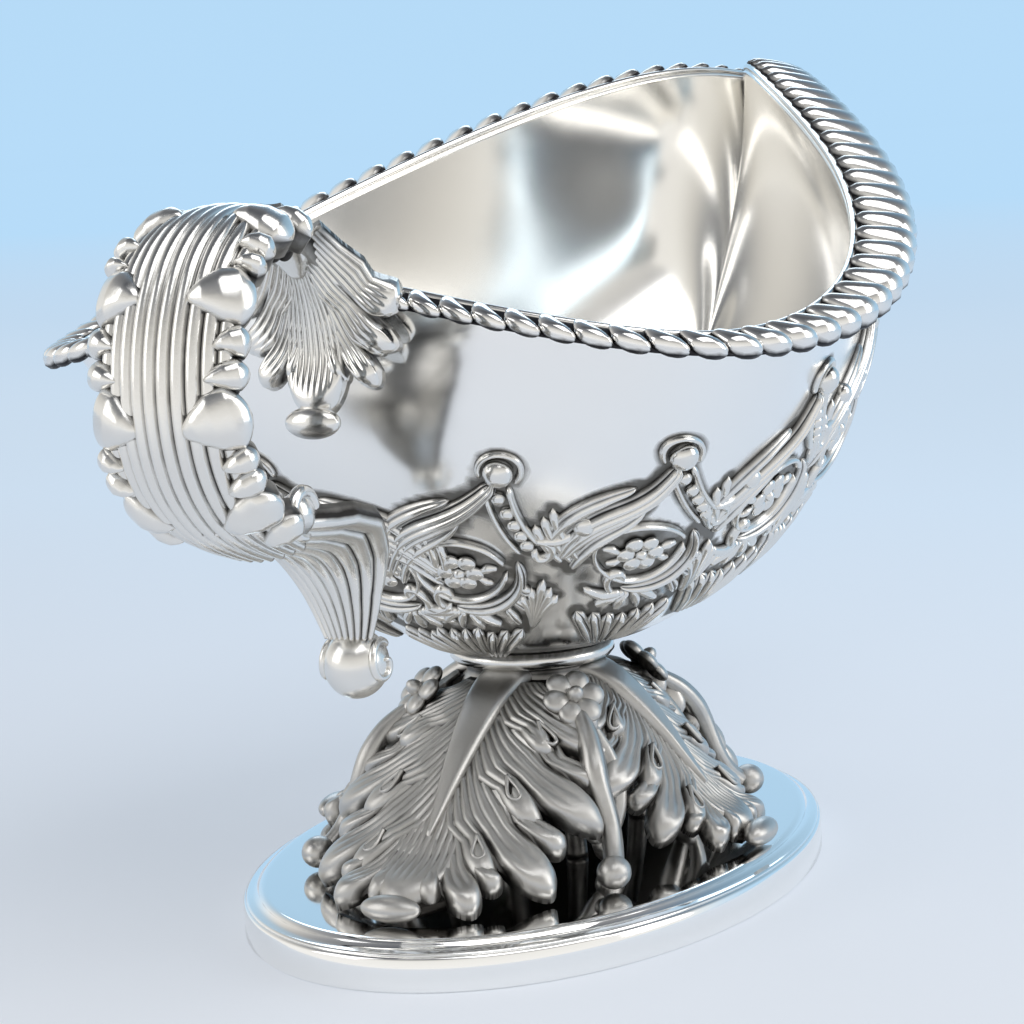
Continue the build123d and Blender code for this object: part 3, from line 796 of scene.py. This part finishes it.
def bowl_patina_and_shade(round_length, wall_length, s):
    """Patina and painted shade over the bowl: dark beside the relief (oxide and painted contact shade), on
    the ground of each panel, towards the seat, and under the rim (painted shade).
    """
    far = np.full(round_length.shape, 50.0)
    for path, w in PATHS:
        near = ((np.abs(round_length - path[:, 0].mean()) < 22)
                & (np.abs(wall_length - path[:, 1].mean()) < 22))
        if near.any():
            du = round_length[near][:, None] - path[None, :, 0]
            dv = wall_length[near][:, None] - path[None, :, 1]
            far[near] = np.minimum(far[near], np.hypot(du, dv).min(1) - w)
    # dark edge beside the relief: oxide and painted contact shade
    pat = np.clip(0.12 + far / 1.5, 0.06, 1.0)
    for u, v, _ in PANEL_AT:
        ground = ((round_length - u) / 8.5) ** 2 + ((wall_length - v + 1.9) / 7.0) ** 2 < 1
        pat[ground] = np.minimum(pat[ground], 0.16)
    # darker towards the seat at the foot of the wall
    pat = np.minimum(pat, np.clip(0.2 + (wall_length - 6) / 6.0, 0.1, 1))
    # painted shade in a band just under the rim, where the border overhangs
    return np.minimum(pat, np.clip(0.35 + (1 - s) * 26, 0, 1))


def all_round(half):
    """The +Y half of the bowl and its mirror image, as one closed grid."""
    return np.concatenate([half, (half[::-1] * [1, -1, 1])[1:-1]], 0)


def bowl():
    """Scroll panels, then the outside and the inside of the bowl."""
    for label, side in SIDES:
        PATHS.clear()
        for i, at in enumerate(PANEL_AT):
            panel(f"scroll_panel_{label}_{i + 1}", side, at)
    t, s = np.meshgrid(np.linspace(0, 1, 260), np.linspace(0.0, 1, 120) ** 0.9, indexing="ij")
    pat = bowl_patina_and_shade(np.interp(t, ROUND_T, ROUND_LENGTH), np.interp(s, WALL_S, WALL_LENGTH), s)
    outer = all_round(skin(t, s, 0.0))
    inner = all_round(skin(t, s, -WALL))
    shrink = [0.02, 0.02, 1]
    count = len(outer)
    b = Build()
    b.grid(outer, np.concatenate([pat, pat[::-1][1:-1]], 0), wrap_u=True)
    b.grid(np.stack([outer[:, 0] * shrink, outer[:, 0]], 1), np.full((count, 2), 0.2), wrap_u=True)
    b.piece("bowl_outside", body_mat, "bowl_silver")
    b = Build()
    b.grid(inner, np.ones(inner.shape[:2]), wrap_u=True)
    b.grid(np.stack([inner[:, 0] * shrink, inner[:, 0]], 1), np.ones((count, 2)), wrap_u=True)
    lip = (outer[:, -1] + inner[:, -1]) / 2 + [0, 0, 0.35]
    b.grid(np.stack([inner[:, -1], lip, outer[:, -1]], 1), np.ones((count, 3)), wrap_u=True)
    b.piece("bowl_inside", inner_mat, "bowl_silver", ["bowl_shell"])


# ---------------------------------------------------------------- rim border
def border_width(t):
    """Size of the border's lobes: small at the stern, largest two thirds of the way to the spout."""
    return 1.9 + 4.0 * np.sin(PI * 0.88 * t ** 1.3)


def lobe_pitch(w):
    """Distance from one lobe of the border to the next."""
    return 3.6 + 0.55 * w


def rim_frame(t):
    """Point on the rim with its directions: level out, ahead, out and down, up and out."""
    p = rim(t)
    e = 0.003
    d = rim(np.clip(t + e, 0, 1)) - rim(np.clip(t - e, 0, 1))
    ahead = unit(d)
    out = unit(np.stack([-d[:, 1], d[:, 0], 0 * t], -1))
    lean = unit(out * 0.82 - np.array([0, 0, 0.57]))
    up = unit(out * 0.57 + np.array([0, 0, 0.82]))
    return p, out, ahead, lean, up


def gadroon_lobe(b, at, directions, w, side):
    """One comma-shaped lobe: thin tail at the rim wire, fat round end outside."""
    ahead, lean, up = directions
    half = lobe_pitch(w) / 2
    a = np.linspace(0, 1, 16)
    ph = np.linspace(0, 2 * PI, 16, endpoint=False)
    fat = np.interp(a, [0, 0.3, 0.65, 0.85, 1], [0.30, 0.62, 1.0, 1.0, 0.9]) * end_round(16, 0.12, 0.26)
    outward = lean * (w * (2.3 * a - 0.1))[:, None]
    sweep = ahead * (half * 1.25 * (a ** 1.4 - 0.5))[:, None]
    arch = up * (0.16 * w * np.sin(PI * a))[:, None]
    centre = at + outward + sweep + arch
    ring = ahead * np.cos(ph)[:, None] * half * 1.04 + up * np.sin(ph)[:, None] * w * 0.62
    p = centre[:, None] + ring[None] * fat[:, None, None]
    # painted light: each lobe bright on its upper side, dark underneath and along its thin tail, as if lit
    # from above
    tone = 0.1 + np.clip(0.35 + np.sin(ph), 0, 1)[None] * np.clip(fat[:, None] * 1.6, 0, 1)
    p[..., 1] = side * np.maximum(p[..., 1], 0.05)
    b.grid(p, np.clip(tone, 0, 1), wrap_v=True, cap=True)


def borders():
    """Gadrooned border outside the lip, the plain wire on top of it, and the tip of the spout."""
    t = np.linspace(0.012, 0.995, 900)
    p, out, _, lean, up = rim_frame(t)
    w = border_width(t)
    count = np.cumsum(np.linalg.norm(np.gradient(p, axis=0), axis=1) / lobe_pitch(w))
    centres = np.interp(np.arange(0.7, count[-1] - 0.3, 1.0), count, t)
    lobe_at, _, lobe_ahead, lobe_lean, lobe_up = rim_frame(centres)
    lobe_width = border_width(centres)
    # dark sheet of painted shade under the lobes, from every third point of the rim
    ph = np.linspace(0, 2 * PI, 16, endpoint=False)[None, :, None]
    shade_core = (p + lean * (w * 0.85)[:, None] + [0, 0, 0.6])[::3]
    across = lean[::3, None] * (0.92 * w[::3, None, None] * np.cos(ph))
    ring = across + up[::3, None] * (0.22 * w[::3, None, None] * np.sin(ph))
    wire = (p - out * 0.5 + [0, 0, 0.7])[::6]
    for label, side in SIDES:
        b = Build()
        q = shade_core[:, None] + ring
        q[..., 1] = side * np.maximum(q[..., 1], 0.05)
        # painted shade under and between the lobes
        b.grid(q, np.full(q.shape[:2], 0.08), wrap_v=True, cap=True)
        for i, width in enumerate(lobe_width):
            at = lobe_at[i] + [0, 0, 0.9 + 0.12 * width]
            gadroon_lobe(b, at, (lobe_ahead[i], lobe_lean[i], lobe_up[i]), width, side)
        b.piece("gadroon_" + label, rim_mat, "border_silver", ["rim_gadroon_" + label])
        b = Build()
        tube3(b, wire * [1, side, 1], [0.65] * 4, n=240, m=12, pat=1.0)
        b.piece("rim_wire_" + label, rim_mat, "border_silver", ["rim_wire_" + label])
    b = Build()
    for side in (-1, 1):
        ahead = unit(np.array([1, side * 0.35, 0.1]))
        across = unit(np.array([-side * 0.35, 1, 0.0]))
        blob(b, (128.6, side * 1.6, 131.6), [ahead, across, [0, 0, 1]], (3.2, 1.5, 1.6), (0.3, 1))
    blob(b, (130.2, 0, 131.9), np.eye(3), (2.2, 1.9, 1.5), (0.4, 1))
    b.piece("spout_tip_piece", rim_mat, "border_silver", ["spout_tip"])


# ---------------------------------------------------------------- handle
STRAP_LINE = [(-66.5, 0, 106.5), (-74, 0, 112), (-84, 0, 115.6), (-94, 0, 116.2), (-102, 0, 112.6),
              (-107.6, 0, 105), (-110.2, 0, 95.5), (-109.6, 0, 85.5), (-105.2, 0, 77.4), (-97, 0, 72.2),
              (-88, 0, 69.6)]
MOUNT_LINE = [(-79, 0, 115.2), (-73.4, 0, 111.4), (-69.4, 0, 105.5), (-67.0, 0, 98), (-66.6, 0, 91.5),
              (-68.6, 0, 85.6)]
SCROLL_LINE = [(-101.0, 0, 74.6), (-93, 0, 71.6), (-84, 0, 69.6), (-76, 0, 68.0), (-69.4, 0, 64.4),
               (-65.0, 0, 58.4), (-63.6, 0, 52.6)]
# lobes along each edge of the strap: place along it, half width, how near the middle its tip comes
STRAP_LOBES = [(23.5, 2.0, 5.6), (29.5, 4.2, 3.6), (36.0, 2.3, 7.0), (39.8, 1.8, 7.4), (45.4, 4.6, 3.4),
               (51.8, 2.5, 7.0), (56.4, 2.4, 6.0), (62.6, 4.9, 3.2), (68.6, 2.2, 6.8), (72.4, 2.3, 6.4),
               (78.4, 4.3, 3.6), (85.2, 2.8, 5.6)]
BALL = np.array([-61.4, 0, 48.6])
BALL_RADIUS = 5.2
BALL_HALF_WIDTH = 4.8


def reeded(b, place, length, half, reeds, thick, deep, n, top_h):
    """Strap with rounded reeds side by side on its outer face, whose half width varies."""
    across = reeds * 10 + 1
    x = np.linspace(-1, 1, across)
    k = (x + 1) / 2 * reeds
    reed = np.sqrt(np.clip(1 - (2 * (k - np.floor(k)) - 1) ** 2, 0, 1))
    reed[-1] = 0
    u = along(half, n)[:, None] * x[None]
    v = (np.linspace(0, 1, n) * length)[:, None] * np.ones(across)[None]
    top = place(u, v, top_h + deep * (reed[None] - 1) * np.ones((n, 1)))
    low = place(u[:, ::-1], v[:, ::-1], np.full_like(u, top_h - thick))
    # painted highlight on each reed's crown and dark gaps between the reeds, oxide and painted shade
    shine = np.broadcast_to(np.clip(0.02 + 1.1 * reed ** 1.3, 0, 1), (n, across))
    tone = np.concatenate([shine, np.full((n, across), 0.4)], 1)
    b.grid(np.concatenate([top, low], 1), tone, wrap_v=True, cap=True)


def strap():
    """Broad reeded strap with a row of leaf lobes along each edge."""
    place, length = sheet_map(STRAP_LINE, [0.035] * 11, -1.0)
    b = Build()
    half = [3.2, 4.4, 7.6, 9.2, 9.4, 9.4, 9.2, 8.6, 7.4]
    reeded(b, place, length, half, 10, 3.4, 1.15, 170, 1.6)
    b.piece("handle_strap_reeded", handle_mat, "handle_silver", ["handle_strap"])
    for label, side in SIDES:
        b = Build()
        for v, w, inner in STRAP_LOBES:
            path = [(side * 11.0, v - w * 0.12), (side * 9.4, v - w * 0.08),
                    (side * (inner + 1.8), v + w * 0.06), (side * inner, v + w * 0.3)]
            strand(b, place, path, [w * 0.8, w, w * 0.86, w * 0.52, w * 0.12], [1.5, 2.1, 2.3, 1.9, 0.7],
                   n=38, m=26, start=0.3, end=0.1, sink=2.8, base=1.0, crown=2.5, back=0.4)
        # dark blobs tucked under the edge lobes: painted shade beneath them
        for v in np.linspace(24, 88, 18):
            c = place(np.array([side * 9.0]), np.array([v]), np.array([-2.2]))[0]
            blob(b, c, np.eye(3), (1.9, 1.1, 1.9), (0.0, 0.6), 12, 16)
        b.piece("handle_leaves_" + label, handle_mat, "handle_silver", ["handle_leaves_" + label])


def mount_leaf():
    """Fluted leaf that spreads from the top of the strap over the stern."""
    mount, length = sheet_map(MOUNT_LINE, [0.06, 0.035, 0.02, 0.012, 0.012, 0.01], -1.0)
    b = Build()
    n = 40
    v = np.linspace(0, 1, n)
    half = np.interp(v, [0, 0.2, 0.45, 0.6, 0.8, 1], [2.0, 3.4, 5.6, 5.8, 2.6, 1.2])
    u = half[:, None] * np.linspace(-1, 1, 31)
    v = (v * length)[:, None] * np.ones(31)
    top = mount(u, v, np.full_like(u, 0.3))
    low = mount(u[:, ::-1], v[:, ::-1], np.full_like(u, -1.6))
    b.grid(np.concatenate([top, low], 1), np.full((n, 62), 0.5), wrap_v=True, cap=True)
    for side in (-1, 1):
        lobe(b, mount, side, [(2.8, 2.0), (1.6, 9.0)], (13.6, 22.6), 5.2, leaflets=PAIR, flutes=10,
             height=1.5, back=0.6)
        lobe(b, mount, side, [(1.8, 7.0), (0.2, 14.0)], (9.4, 29.6), 4.8, leaflets=THREE, flutes=10,
             height=1.4, back=0.6)
        eye(b, mount, side, (8.6, 22.4), 0.6, 1.3)
    lobe(b, mount, 1, [(2.2, 9.0), (-2.2, 9.0)], (0.0, length + 0.6), 4.6, leaflets=ONE, flutes=10,
         height=1.7, bend=(0.5, 0.5), waist=0.92, back=0.6)
    strand(b, mount, [(0, 0), (0, 4), (0, 9), (0, 13)], [3.6, 3.8, 3.0, 0.8], [2.0, 2.2, 2.0, 1.4],
           n=30, m=18, crown=5.0, start=0.02, end=0.1, base=0.3)
    c = mount(np.array([0.0]), np.array([length]), np.array([0.4]))[0]
    blob(b, c + [-0.9, 0, -0.6], np.eye(3)[[1, 0, 2]], (4.4, 2.2, 2.4), (0.4, 1.0), 16, 24)
    b.piece("handle_mount_leaf", handle_mat, "handle_silver", ["handle_mount_leaf"])


def lower_scroll():
    """Reeded scroll under the strap, with a ball that has a volute on either face."""
    scroll, length = sheet_map(SCROLL_LINE, [0.035, 0.034, 0.03, 0.03, 0.035, 0.05, 0.06], -1.0)
    b = Build()
    reeded(b, scroll, length, [6.5, 8.8, 11.0, 12.6, 12.4, 9.8, 6.4, 3.8], 9, 3.2, 1.1, 110, 0.9)
    b.piece("handle_scroll_reeded", handle_mat, "handle_silver", ["handle_scroll"])
    b = Build()
    blob(b, BALL, np.eye(3), (BALL_RADIUS, BALL_HALF_WIDTH, BALL_RADIUS), (0.75, 1.0), 28, 40)
    for side in (-1, 1):
        points = []
        for q in np.linspace(0, 1, 16):
            a = 0.6 + q * 2.4 * PI
            r = 3.4 * (1 - q) + 0.5
            face = BALL_HALF_WIDTH * math.sqrt(1 - (r / BALL_RADIUS) ** 2) + 0.1
            points.append(BALL + [r * math.cos(a), side * face, r * math.sin(a)])
        tube3(b, points, [0.7, 0.65, 0.6, 0.5], n=60, m=10, pat=1.0, start=0.05, end=0.1)
    b.piece("handle_ball_volute", handle_mat, "handle_silver", ["handle_ball"])


def handle_eyes():
    """Small curls where the strap meets the scroll."""
    for label, side in SIDES:
        b = Build()
        c = np.array([-92.0, side * 9.0, 75.4])
        blob(b, c, np.eye(3), (3.0, 2.4, 3.0), (0.4, 1.0), 18, 26)
        curl = [c + [3.4 * math.cos(a), side, 3.4 * math.sin(a)] for a in np.linspace(0, 5.2, 9)]
        tube3(b, curl, [0.8, 1.0, 0.9, 0.6], n=40, m=10, start=0.05, end=0.1)
        b.piece("handle_eye_" + label, handle_mat, "handle_silver", ["handle_eye_" + label])


plinth()
foot()
collar()
bowl()
borders()
strap()
mount_leaf()
lower_scroll()
handle_eyes()


# ---------------------------------------------------------------- studio
SKY_BLUE = (0.475, 0.716, 0.947)
# floor's tone by X in metres: white behind the camera, pale blue far beyond the part
FLOOR_TONES = [(-1.0, (1.0, 0.99, 0.97)), (-0.5, (1.0, 1.0, 0.99)), (-0.2, (0.70, 0.72, 0.76)),
               (0.12, (0.64, 0.70, 0.78)), (0.42, (0.62, 0.735, 0.86)), (1.3, (0.54, 0.70, 0.87)),
               (3.0, SKY_BLUE)]
# sky's tone by height, from straight down at 0 to straight up at 1
SKY_TONES = [(0.0, (0.62, 0.63, 0.65)), (0.5, (1.0, 1.0, 1.0)), (0.61, (0.95, 0.95, 0.94)),
             (0.72, (0.72, 0.71, 0.69)), (0.84, (0.34, 0.35, 0.37)), (1.0, (0.10, 0.11, 0.13))]
# the floor takes shadows inside the first distance from the part and only glows beyond the second
SHADOW_NEAR = 0.15
SHADOW_FAR = 1.0


def paper():
    """Studio paper that is lit close to the part and gives its own light further out."""
    mat = bpy.data.materials.new("studio_paper")
    shader = Shader(mat)
    new, link = shader.new, shader.link
    bsdf = shader.nodes["Principled BSDF"]
    place = new("ShaderNodeTexCoord").outputs["Object"]
    axes = new("ShaderNodeSeparateXYZ")
    link(place, axes.inputs[0])
    start = FLOOR_TONES[0][0]
    span = FLOOR_TONES[-1][0] - start
    tones = [((x - start) / span, colour) for x, colour in FLOOR_TONES]
    tone = shader.colour_ramp(shader.map_range(axes.outputs["X"], start, start + span), tones)
    distance = new("ShaderNodeVectorMath")
    distance.operation = "LENGTH"
    link(place, distance.inputs[0])
    away = distance.outputs["Value"]
    glow = shader.map_range(away, SHADOW_NEAR, SHADOW_FAR, 0.46, 1.0, soft=True)
    matt = shader.map_range(away, SHADOW_NEAR, SHADOW_FAR, 0.80, 0.0, soft=True)
    shade = new("ShaderNodeVectorMath")
    shade.operation = "SCALE"
    link(tone, shade.inputs[0])
    link(matt, shade.inputs["Scale"])
    noise = new("ShaderNodeTexNoise")
    noise.inputs["Scale"].default_value = 900.0
    shader.bump(noise.outputs["Fac"], 0.04, 0.0005, bsdf.inputs["Normal"])
    link(shade.outputs["Vector"], bsdf.inputs["Base Color"])
    link(tone, bsdf.inputs["Emission Color"])
    link(glow, bsdf.inputs["Emission Strength"])
    bsdf.inputs["Roughness"].default_value = 1.0
    bsdf.inputs["Specular IOR Level"].default_value = 0.0
    return mat


def studio():
    """Flat floor, 24 m square, in squares of one metre."""
    x = np.linspace(-12, 12, 25)
    n = len(x)
    points = [(a, b, 0.0) for a in x for b in x]
    faces = []
    for i in range(n - 1):
        for j in range(n - 1):
            k = i * n + j
            faces.append((k, k + n, k + n + 1, k + 1))
    mesh = bpy.data.meshes.new("floor")
    mesh.from_pydata(points, [], faces)
    ob = bpy.data.objects.new("floor", mesh)
    bpy.context.scene.collection.objects.link(ob)
    mesh.polygons.foreach_set("use_smooth", [True] * len(mesh.polygons))
    mesh.materials.append(paper())


def area(name, at, target, size, power, colour=(1, 1, 1)):
    """Soft rectangular light aimed at a point."""
    light = bpy.data.lights.new(name, "AREA")
    light.shape = "RECTANGLE"
    light.size, light.size_y = size
    light.energy = power
    light.color = colour
    ob = bpy.data.objects.new(name, light)
    ob.location = at
    ob.rotation_euler = (Vector(target) - Vector(at)).to_track_quat("-Z", "Y").to_euler()
    bpy.context.scene.collection.objects.link(ob)


def world():
    """Sky that is bright at the horizon, dark overhead and pale blue towards +X."""
    sky = bpy.data.worlds.new("studio")
    bpy.context.scene.world = sky
    shader = Shader(sky)
    new, link = shader.new, shader.link
    axes = new("ShaderNodeSeparateXYZ")
    link(new("ShaderNodeTexCoord").outputs["Generated"], axes.inputs[0])
    tone = shader.colour_ramp(shader.map_range(axes.outputs["Z"], -1.0, 1.0), SKY_TONES)
    tint = new("ShaderNodeMix")
    tint.data_type = "RGBA"
    tint.inputs["A"].default_value = (0.93, 0.92, 0.90, 1)
    tint.inputs["B"].default_value = (*SKY_BLUE, 1)
    link(shader.map_range(axes.outputs["X"], 0.3, 0.82, soft=True), tint.inputs["Factor"])
    both = new("ShaderNodeMix")
    both.data_type = "RGBA"
    both.blend_type = "MULTIPLY"
    both.inputs["Factor"].default_value = 1.0
    link(tone, both.inputs["A"])
    link(tint.outputs["Result"], both.inputs["B"])
    link(both.outputs["Result"], shader.nodes["Background"].inputs["Color"])
    shader.nodes["Background"].inputs["Strength"].default_value = 1.0


def camera():
    """Camera behind the handle on the -Y side, near the height of the rim."""
    cam = bpy.data.cameras.new("camera")
    ob = bpy.data.objects.new("camera", cam)
    bpy.context.scene.collection.objects.link(ob)
    turn = math.radians(-65.13)
    tilt = math.radians(7.09)
    roll = math.radians(-3.1)
    back = Vector((math.sin(turn) * math.cos(tilt), -math.cos(turn) * math.cos(tilt), math.sin(tilt)))
    level = Vector((math.cos(turn), math.sin(turn), 0))
    upright = back.cross(level)
    right = level * math.cos(roll) + upright * math.sin(roll)
    up = upright * math.cos(roll) - level * math.sin(roll)
    rotation = Matrix((right, up, back)).transposed()
    ob.matrix_world = Matrix.Translation((-0.4111, -0.1906, 0.1260)) @ rotation.to_4x4()
    cam.sensor_width = 36.0
    cam.lens = 96.9
    cam.shift_x = -0.0102
    cam.shift_y = -0.0463
    cam.clip_start = 0.01
    cam.clip_end = 20.0
    bpy.context.scene.camera = ob


studio()
world()
area("key_top", (-0.15, -0.35, 0.75), (0, 0, 0.08), (0.7, 0.5), 2.2)
area("left_window", (-0.55, 0.55, 0.45), (0, 0, 0.08), (0.5, 0.6), 1.2)
area("right_window", (0.15, -0.75, 0.35), (0, 0, 0.08), (0.35, 0.6), 1.2)
area("back_glow", (0.75, 0.35, 0.6), (0, 0, 0.1), (0.6, 0.4), 1.2, (0.85, 0.93, 1.0))
camera()
bpy.context.scene.view_settings.view_transform = "Standard"
